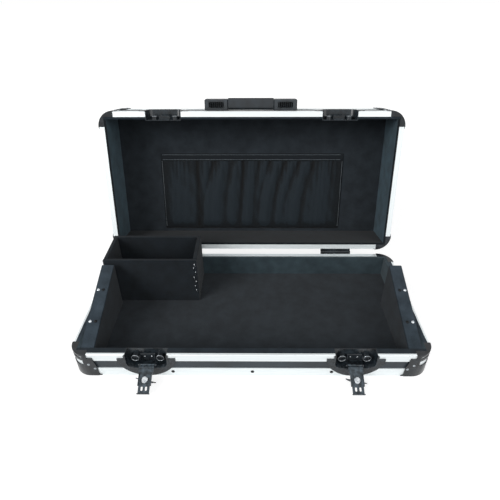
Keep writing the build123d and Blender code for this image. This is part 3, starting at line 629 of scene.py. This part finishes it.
def stiffening_bracket(material):
    """A bent plate on the origin: its back is drawn first, then its two ends are turned up."""
    start_alone()
    bpy.ops.mesh.primitive_plane_add(size=1, location=(0, 0, dish_sheet / 2))
    bracket = bpy.context.object
    bracket.name = "latch_bracket"
    bracket.scale = (bracket_wide, bracket_tall, 1)
    bpy.ops.object.transform_apply(location=True, rotation=False, scale=True)
    pick(bracket, lambda run: abs(run.x) < mm, faces=False)
    bpy.ops.mesh.extrude_edges_move(TRANSFORM_OT_translate={"value": (0, 0, bracket_reach)})
    bpy.ops.object.mode_set(mode="OBJECT")
    shape_with(bracket, "SOLIDIFY", thickness=dish_sheet, offset=0)
    shape_with(bracket, "BEVEL", width=bracket_bend, segments=2)
    bpy.ops.object.mode_set(mode="EDIT")
    bpy.ops.mesh.select_all(action="SELECT")
    bpy.ops.mesh.normals_make_consistent(inside=False)
    return finish_piece(bracket, material, 40)


def highlight_ring():
    """A bright ring of wire on the origin, flattened on the side that shows: a painted highlight for a
    boss's rim.
    """
    start_alone()
    round_wire = {"major_radius": ring_radius, "minor_radius": ring_wire}
    bpy.ops.mesh.primitive_torus_add(major_segments=40, minor_segments=10, **round_wire)
    ring = bpy.context.object
    ring.name = "eyelet_highlight_ring"
    pick(ring, lambda face: face.center.z > ring_wire * 0.3)
    bpy.ops.transform.resize(value=(1, 1, 0.7), center_override=(0, 0, 0))
    return finish_piece(ring, zinc, 60)


dishes = ("base_latch_dishes", "lid_latch_dishes", "lid_latch_keepers")
dress(stove_enamel("dish_enamel", dish_tones, 0.2, dish_patch), *dishes)
soften(pressed_edge, *dishes)
dress(nickel, "latch_hinge_pins")
boss_enamel = stove_enamel("eyelet_steel", boss_tones, 0.2)
boss = rivet_boss(boss_enamel)
bracket = stiffening_bracket(boss_enamel)
ring = highlight_ring()
spot_rivet = round_head("dish_spot_rivet", spot_rivet_radius, spot_rivet_height, nickel, 16)
set_out(bracket, "base", in_dishes("base", (0.0,), spot_rivet_level))
for shell in ("base", "lid"):
    boss_places = in_dishes(shell, boss_shifts, boss_level)
    ring_places = in_dishes(shell, boss_shifts, boss_level, boss_height + ring_seat)
    set_out(boss, shell, boss_places, [f"{shell}_dish_rivets"])
    set_out(ring, shell, ring_places)
    if shell == "base":
        spot_places = in_dishes(shell, spot_rivet_shifts, spot_rivet_level, dish_sheet)
        set_out(spot_rivet, shell, spot_places)
for master in (boss, bracket, ring, spot_rivet):
    bpy.data.objects.remove(master)

# Butterfly latches
# Each hangs from a pin in its dish: an enamelled plate, a hook that slides on it, a bright
# nickel stud whose cam draws the hook in, and the folding wing that turns the stud.
latch_tones = ("#1f262b", "#4c5861")
latch_patch = 7 * mm
latch_edge = 0.35 * mm
latch_enamel = stove_enamel("latch_enamel", latch_tones, 0.2, latch_patch)
for side in ("left", "right"):
    latch_parts = [f"{side}_latch_{part}" for part in ("plate", "hook", "wing")]
    dress(latch_enamel, *latch_parts)
    soften(latch_edge, *latch_parts)
    dress(nickel, f"{side}_latch_stud")

# Stop hinges
# Two steel hinges, enamelled black, with nickel pins. Three screws hold each leaf to the rear
# wall, and a stop inside the hinge holds the lid open.
hinge_screw_radius = 3.6 * mm
hinge_screw_height = 1.6 * mm
hinge_screw_recess = 4.0 * mm
hinge_screw_pitch = 27 * mm
hinge_screw_level = 26 * mm
hinge_proud = 2.0 * mm
hinge_inset = 136 * mm
hinge_x = half_width - hinge_inset
dress(guard_enamel, "base_hinge_leaves", "lid_hinge_leaves")
dress(nickel, "hinge_pins")
hinge_screw = round_head("hinge_screw", hinge_screw_radius, hinge_screw_height, black_steel)
cross_recess(hinge_screw, hinge_screw_recess)
screw_x = [side * hinge_x + shift * hinge_screw_pitch for side in (-1, 1) for shift in (-1, 0, 1)]
base_level = rim_level - hinge_screw_level
lid_level = lid_low_level + hinge_screw_level
base_places = [on_wall("rear", x, base_level, hinge_proud) for x in screw_x]
lid_places = [opened @ on_wall("rear", x, lid_level, hinge_proud) for x in screw_x]
set_out(hinge_screw, "base", base_places)
set_out(hinge_screw, "lid", lid_places)
bpy.data.objects.remove(hinge_screw)

# Handle
# Two end blocks of moulded black nylon, each with a ribbed window in the side that faces the
# rim, and a soft grip that folds up between them on steel pins.
nylon_tones = ("#1d2226", "#2a3137")
grip_tones = ("#12171b", "#1e252b")
nylon_grain = 0.8 * mm
grip_grain = 1.4 * mm
grain_relief = 0.1 * mm
mould_flow = 20 * mm
moulded_edge = 0.6 * mm
window_wide = 34 * mm
window_tall = 12.5 * mm
window_lip = 1.6 * mm
lip_proud = 0.8 * mm
lip_edge = 0.35 * mm
window_rib = 1.2 * mm
window_ribs = 7
window_rib_pitch = 4.6 * mm
# Behind the block's face: the middle of the ribs and their front edge
rib_middle = 9 * mm
rib_front = 2 * mm
block_length = 54.3 * mm
block_level = 28 * mm
block_projection = 24.5 * mm
handle_centre = -1.7 * mm
handle_half = 107.3 * mm
window_y = -half_depth - block_projection / 2
window_z = lid_low_level + block_level


def moulded_nylon(name, tones, rough, grain):
    """Moulded plastic: a spark-eroded grain that spreads the highlight."""
    material, tree, shader = new_finish(name, {"IOR": 1.53})
    fine = {"Vector": on_surface(tree, grain), "Scale": 1.0, "Detail": 5.0}
    spark = put(tree, "TexNoise", fine).outputs["Fac"]
    broad = {"Vector": on_surface(tree, mould_flow), "Scale": 1.0, "Detail": 2.0}
    flow = put(tree, "TexNoise", broad).outputs["Fac"]
    gloss = (spark, rough - 0.08, rough + 0.12)
    cover(tree, shader, two_tones(tree, flow, tones), gloss, (spark, 0.3, grain_relief))
    return material


def repeat(piece, count, step):
    """Repeats the piece's mesh at a fixed step."""
    plain_step = {"use_relative_offset": False, "use_constant_offset": True}
    shape_with(piece, "ARRAY", count=count, constant_offset_displace=step, **plain_step)


def window_frame():
    """The raised lip round a window: a plane with its middle taken out, thickened and eased."""
    start_alone()
    bpy.ops.mesh.primitive_plane_add(size=1)
    lip = bpy.context.object
    lip.scale = (window_wide + 2 * window_lip, window_tall + 2 * window_lip, 1)
    bpy.ops.object.transform_apply(location=True, rotation=False, scale=True)
    pick(lip, lambda face: True)
    bpy.ops.mesh.inset(thickness=window_lip)
    bpy.ops.mesh.delete(type="FACE")
    bpy.ops.mesh.select_all(action="SELECT")
    bpy.ops.mesh.extrude_region_shrink_fatten(TRANSFORM_OT_shrink_fatten={"value": lip_proud})
    bpy.ops.mesh.select_all(action="SELECT")
    bpy.ops.mesh.normals_make_consistent(inside=False)
    finish_piece(lip, nylon)
    shape_with(lip, "BEVEL", width=lip_edge, segments=2)
    return lip


def window_ribbing():
    """The row of ribs in a window, each with its outer edge drawn in."""
    start_alone()
    first_rib = (-(window_ribs - 1) / 2 * window_rib_pitch, 0, rib_middle)
    bpy.ops.mesh.primitive_cube_add(size=1, location=first_rib)
    rib = bpy.context.object
    rib.scale = (window_rib, window_tall, 2 * (rib_middle - rib_front))
    bpy.ops.object.transform_apply(location=True, rotation=False, scale=True)
    pick(rib, lambda face: face.normal.z < -0.9)
    bpy.ops.mesh.inset(thickness=window_rib * 0.3, depth=window_rib * 0.5)
    bpy.ops.object.mode_set(mode="OBJECT")
    repeat(rib, window_ribs, (window_rib_pitch, 0, 0))
    return finish_piece(rib, nylon)


nylon = moulded_nylon("moulded_nylon", nylon_tones, 0.48, nylon_grain)
dress(nylon, "handle_blocks")
soften(moulded_edge, "handle_blocks")
dress(moulded_nylon("grip_rubber", grip_tones, 0.6, grip_grain), "handle_grip")
lip = window_frame()
ribs = window_ribbing()
for sign, hand in ((-1, "left"), (1, "right")):
    block_x = handle_centre + sign * (handle_half - block_length / 2)
    window = opened @ Matrix.Translation((block_x, window_y, window_z))
    set_one(lip, f"{hand}_window_lip", window, "lid")
    set_one(ribs, f"{hand}_window_ribs", window, "lid")
for master in (lip, ribs):
    bpy.data.objects.remove(master)

# Net pocket
# Fine black knitted net, cut wider than the pocket and gathered into an elastic hem. It is sewn
# to the lid's felt along the bottom and both sides, where a tape binds its edges.
net_tones = ("#030405", "#1d252b")
net_mesh = 3.0 * mm
net_relief = 0.3 * mm
net_thickness = 0.5 * mm
net_columns = 180
net_rows = 60
pocket_width = 468 * mm
pocket_centre = 1 * mm
pocket_bottom = 25 * mm
pocket_height = 201 * mm
hem_height = 18 * mm
net_height = pocket_height - hem_height
seam_stand = 1.2 * mm
fullest = 3.4 * mm
# The height over the felt at which the net's painted shade gives way to its lightest tone
lightest_stand = 2.3 * fullest
crease_height = 0.75 * mm
gather_height = 1.1 * mm
lowest_stand = 0.4 * mm
board_and_felt = 9 * mm
felt_level = lid_far_level - board_and_felt
# Folds of the net: where each meets the hem and the seam across the pocket, its height and width
fold_rows = (
    (-0.40, -0.42, 1.0, 0.05),
    (-0.30, -0.305, -5.0, 0.014),
    (-0.255, -0.27, 4.0, 0.022),
    (-0.205, -0.285, -4.0, 0.014),
    (-0.15, -0.21, 4.2, 0.026),
    (-0.105, -0.15, -3.2, 0.014),
    (-0.075, -0.115, 3.0, 0.020),
    (-0.045, -0.075, -4.6, 0.013),
    (-0.005, -0.03, 4.4, 0.022),
    (0.045, 0.01, -2.6, 0.012),
    (0.07, 0.055, 4.2, 0.018),
    (0.10, 0.035, -3.6, 0.013),
    (0.145, 0.08, 4.4, 0.020),
    (0.185, 0.12, -4.2, 0.013),
    (0.225, 0.16, 4.0, 0.022),
    (0.265, 0.17, -3.0, 0.014),
    (0.30, 0.235, 4.0, 0.022),
    (0.345, 0.28, -3.4, 0.014),
    (0.40, 0.37, 2.6, 0.030),
    (0.445, 0.44, -1.6, 0.014),
)


def pocket_stand(across, up):
    """Height of the net over the felt; across runs from -0.5 to 0.5 and up from seam to hem.

    The net bellies out between its seams, carries the folds above and fine creases between
    them, and is gathered in small pleats under the hem."""
    side = min(1.0, (0.5 - abs(across)) / 0.05)
    foot = min(1.0, up / 0.12)
    stand = seam_stand + fullest * foot * side * (1 - 0.5 * up ** 3)
    for at_hem, at_seam, height, width in fold_rows:
        bow = 0.012 * math.sin(math.pi * up) * (1 if at_hem > at_seam + 0.03 else -0.4)
        line = at_seam + (at_hem - at_seam) * up ** 1.4 - bow
        reach = (across - line) / (width * (1.2 - 0.5 * up))
        stand += height * 0.75 * mm * side * foot * math.exp(-abs(reach) ** 1.5)
    drift = 2.4 * math.sin(across * 29 + 1.3)
    crease = math.sin(across * 150 + drift + up * 7) * math.sin(across * 47 - up * 11 + 2)
    stand += crease * crease_height * side * foot
    pleat = math.sin(across * 230 + 3 * math.sin(across * 31))
    gather = pleat * gather_height * max(0.0, up - 0.6) / 0.4
    return max(lowest_stand, stand + gather * side)


def knitted_net():
    """Knitted polyester net: dull black, darker at its holes, with painted shade where it sits low in
    its folds and at its foot, and painted light on its high ridges.

    Its meshes are drawn twice as coarse as the real 1.5 mm, so that they show."""
    dull = {"Roughness": 0.75, "Specular IOR Level": 0.2, "Sheen Weight": 0.12, "Sheen Roughness": 0.4}
    material, tree, shader = new_finish("knitted_net", dull)
    knit = {"Vector": on_surface(tree, net_mesh, lid_tilt), "Scale": 1.0, "Randomness": 0.35}
    holes = put(tree, "TexVoronoi", knit).outputs["Distance"]
    # The net's height over the felt sets its tone: painted shade in the valleys and at the foot, painted
    # light on the ridges
    stand = put(tree, "Attribute", {}, attribute_name="stand").outputs["Fac"]
    both = put(tree, "Math", {0: holes, 1: 0.6, 2: stand}, operation="MULTIPLY_ADD").outputs["Value"]
    tone = two_tones(tree, both, net_tones, 0.42, 1.0)
    cover(tree, shader, tone, relief=(holes, 0.6, net_relief))
    return material


def on_lid(piece):
    """Opens a piece that was modelled on the closed lid, and has it ride there."""
    piece.data.transform(opened)
    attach(piece, "lid")


start_alone()
bpy.ops.mesh.primitive_grid_add(x_subdivisions=net_columns, y_subdivisions=net_rows, size=1)
net = bpy.context.object
net.name = "gathered_net"
# Stored per point for the net's painted shade and ridge light
lift = net.data.attributes.new("stand", "FLOAT", "POINT")
for vertex in net.data.vertices:
    across, up = vertex.co.x, vertex.co.y + 0.5
    stand = pocket_stand(across, up)
    y = half_depth - pocket_bottom - up * net_height
    vertex.co = (pocket_centre + across * pocket_width, y, felt_level - stand)
    lift.data[vertex.index].value = stand / lightest_stand
finish_piece(net, knitted_net(), 180)
shape_with(net, "SOLIDIFY", thickness=net_thickness, offset=0)
on_lid(net)
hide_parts("pocket_net")

# Pocket hem and bindings
# The hem is woven elastic, folded over the net's mouth and sewn with two rows of thread. The
# same tape, narrower, covers the foot and the two raw sides, with a row of thread down each side.
elastic_tones = ("#080b0e", "#182026")
thread_tones = ("#565f66", "#8b959c")
elastic_rib = 1.8 * mm
elastic_run = 30 * mm
rib_relief = 0.3 * mm
hem_thick = 2.0 * mm
hem_ripple = 0.5 * mm
# Radians to a metre of the hem's ripple
hem_turns = 420
binding_thick = 1.2 * mm
binding_wide = 5.0 * mm
tape_lift = 0.2 * mm
tape_cuts = 90
stitch_length = 2.6 * mm
stitch_pitch = 4.0 * mm
stitch_radius = 0.5 * mm
stitch_margin = 3 * mm
hem_margin = 6 * mm
hem_stitch_lift = 0.75 * mm
side_stitch_lift = 0.3 * mm
pocket_left = pocket_centre - pocket_width / 2
pocket_right = pocket_centre + pocket_width / 2
# The pocket's mouth, the lower edge of its hem and its seam
mouth_y = half_depth - pocket_bottom - pocket_height
hem_y = mouth_y + hem_height
seam_y = half_depth - pocket_bottom


def woven_elastic(name, tones):
    """Woven elastic: fine ribs across the band, matt."""
    matt = {"Roughness": 0.85, "Specular IOR Level": 0.25, "Sheen Weight": 0.05}
    material, tree, shader = new_finish(name, matt)
    cell = (elastic_rib, elastic_run, elastic_run)
    woven = {"Vector": on_surface(tree, cell, lid_tilt), "Scale": 0.32, "Distortion": 0.6}
    ribs = put(tree, "TexWave", woven).outputs["Fac"]
    cover(tree, shader, two_tones(tree, ribs, tones, 0.2, 0.9), relief=(ribs, 0.5, rib_relief))
    return material


def tape(name, low, high, thick=binding_thick, ripple=0.0):
    """A flat band between two corners on the felt, its long edges rounded and a little wavy."""
    start_alone()
    level = felt_level - thick / 2 - tape_lift
    middle = ((low[0] + high[0]) / 2, (low[1] + high[1]) / 2, level)
    bpy.ops.mesh.primitive_cube_add(size=1, location=middle)
    band = bpy.context.object
    band.name = name
    band.scale = (high[0] - low[0], high[1] - low[1], thick)
    bpy.ops.object.transform_apply(location=True, rotation=False, scale=True)
    pick(band, lambda face: True)
    bpy.ops.mesh.bevel(offset=thick * 0.35, segments=2)
    bpy.ops.object.mode_set(mode="OBJECT")
    pick(band, lambda run: run.length > 0.1, faces=False)
    bpy.ops.mesh.subdivide(number_cuts=tape_cuts)
    bpy.ops.object.mode_set(mode="OBJECT")
    for vertex in band.data.vertices:
        if vertex.co.z < level:
            vertex.co.z -= ripple * (0.5 + 0.5 * math.sin(vertex.co.x * hem_turns))
    return finish_piece(band, elastic, 50)


def two_rows(name, first, turned, length, step, apart):
    """Two rows of stitches: the first one, turned along its row, is repeated over the length."""
    start_alone()
    stitch = {"vertices": 6, "radius": stitch_radius, "depth": stitch_length}
    bpy.ops.mesh.primitive_cylinder_add(**stitch, location=first, rotation=turned)
    rows = bpy.context.object
    rows.name = name
    bpy.ops.object.transform_apply(location=True, rotation=True, scale=False)
    repeat(rows, round(length / stitch_pitch), step)
    repeat(rows, 2, apart)
    return finish_piece(rows, thread, 60)


elastic = woven_elastic("woven_elastic", elastic_tones)
thread = woven_elastic("hem_thread", thread_tones)
# A stitch turned to lie across the case, or up the lid
across_case = (0, math.radians(90), 0)
up_lid = (math.radians(90), 0, 0)
hem = tape("elastic_hem", (pocket_left, mouth_y), (pocket_right, hem_y), hem_thick, hem_ripple)
left_tape = tape("left_binding", (pocket_left, hem_y), (pocket_left + binding_wide, seam_y))
right_tape = tape("right_binding", (pocket_right - binding_wide, hem_y), (pocket_right, seam_y))
foot_tape = tape("seam_binding", (pocket_left, seam_y - binding_wide), (pocket_right, seam_y))
hem_level = felt_level - hem_thick - hem_stitch_lift
hem_first = (pocket_left + hem_margin, mouth_y + stitch_margin, hem_level)
hem_length = pocket_width - 2 * hem_margin
hem_step = (stitch_pitch, 0, 0)
hem_apart = (0, hem_height - 2 * stitch_margin, 0)
hem_rows = two_rows("hem_stitches", hem_first, across_case, hem_length, hem_step, hem_apart)
side_level = felt_level - binding_thick - side_stitch_lift
side_first = (pocket_left + binding_wide / 2, hem_y + stitch_margin, side_level)
side_length = net_height - 2 * stitch_margin
side_step = (0, stitch_pitch, 0)
side_apart = (pocket_width - binding_wide, 0, 0)
side_rows = two_rows("binding_stitches", side_first, up_lid, side_length, side_step, side_apart)
trims = [hem, left_tape, right_tape, foot_tape, hem_rows, side_rows]
for piece in trims:
    on_lid(piece)
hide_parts("pocket_hem")

# Floor
# A sweep of white matt paper, far larger than the case. It looks white to the camera and in
# reflections, and keeps the case's soft shadow.
paper_tones = ("#b8b8b8", "#bdbdbd")
paper_tooth = 4 * mm
paper_glow = 0.74
paper_wide = 12
paper_middle = (0, 1.5, 0)


def rays_that_see(tree):
    """1 for camera, glossy and transmission rays, and 0 for the light that falls on the object."""
    path = put(tree, "LightPath", {}).outputs
    direct = {0: path["Is Camera Ray"], 1: path["Is Glossy Ray"]}
    seen = put(tree, "Math", direct, operation="MAXIMUM").outputs["Value"]
    through = {0: seen, 1: path["Is Transmission Ray"]}
    return put(tree, "Math", through, operation="MAXIMUM").outputs["Value"]


def sweep_paper():
    """Matt paper with a faint tooth, which glows only to the rays that see it."""
    white_glow = {"Roughness": 0.9, "Emission Color": (1, 1, 1, 1)}
    material, tree, shader = new_finish("sweep_paper", white_glow)
    fine = {"Vector": on_surface(tree, paper_tooth), "Scale": 1.0, "Detail": 3.0}
    tooth = put(tree, "TexNoise", fine).outputs["Fac"]
    cover(tree, shader, two_tones(tree, tooth, paper_tones))
    glow = put(tree, "Math", {0: rays_that_see(tree), 1: paper_glow}, operation="MULTIPLY")
    tree.links.new(glow.outputs["Value"], shader.inputs["Emission Strength"])
    return material


start_alone()
bpy.ops.mesh.primitive_plane_add(size=paper_wide, location=paper_middle)
floor = bpy.context.object
floor.name = "paper_floor"
floor.data.materials.append(sweep_paper())

# Light
# A broad soft key from the left and in front, a weaker fill from the right, and a pale world.
# The strengths light a white card that faces them to about white.
world_strength = 0.38
# Each lamp's name, where it shines from, its strength and how many degrees wide it is
lamps = (
    ("key_light", (-0.8, -0.7, 0.6), 1.7, 32),
    ("fill_light", (0.8, -0.65, 0.55), 0.85, 50),
)
world = bpy.context.scene.world or bpy.data.worlds.new("studio")
bpy.context.scene.world = world
world.use_nodes = True
tree = world.node_tree
tree.nodes.clear()
plain = put(tree, "Background", {"Color": (1, 1, 1, 1), "Strength": world_strength})
white = put(tree, "Background", {"Color": (1, 1, 1, 1), "Strength": 1.0})
mixed = put(tree, "MixShader", {0: rays_that_see(tree), 1: plain.outputs[0], 2: white.outputs[0]})
put(tree, "OutputWorld", {"Surface": mixed.outputs[0]})
for name, towards, strength, softness in lamps:
    lamp = bpy.data.lights.new(name, "SUN")
    lamp.energy = strength
    lamp.angle = math.radians(softness)
    holder = bpy.data.objects.new(name, lamp)
    bpy.context.collection.objects.link(holder)
    holder.location = towards
    holder.rotation_euler = Vector(towards).to_track_quat("Z", "Y").to_euler()

# Camera
# In front of the case and above it, where the photograph was taken from. Its place, its three
# angles and its lens were fitted to the photograph.
lens_mm = 30.586
sensor_mm = 36
camera_place = (0.00383, -0.71661, 0.68397)
pitch_down = math.radians(34.77)
yaw = math.radians(0.50)
roll = math.radians(-0.21)
camera = bpy.data.objects.new("camera", bpy.data.cameras.new("camera"))
bpy.context.collection.objects.link(camera)
camera.data.sensor_width = sensor_mm
camera.data.lens = lens_mm
aim = Matrix.Rotation(yaw, 4, "Z") @ Matrix.Rotation(math.radians(90) - pitch_down, 4, "X")
camera.matrix_world = Matrix.Translation(camera_place) @ aim @ Matrix.Rotation(roll, 4, "Z")
bpy.context.scene.camera = camera
bpy.context.scene.view_settings.view_transform = "Standard"
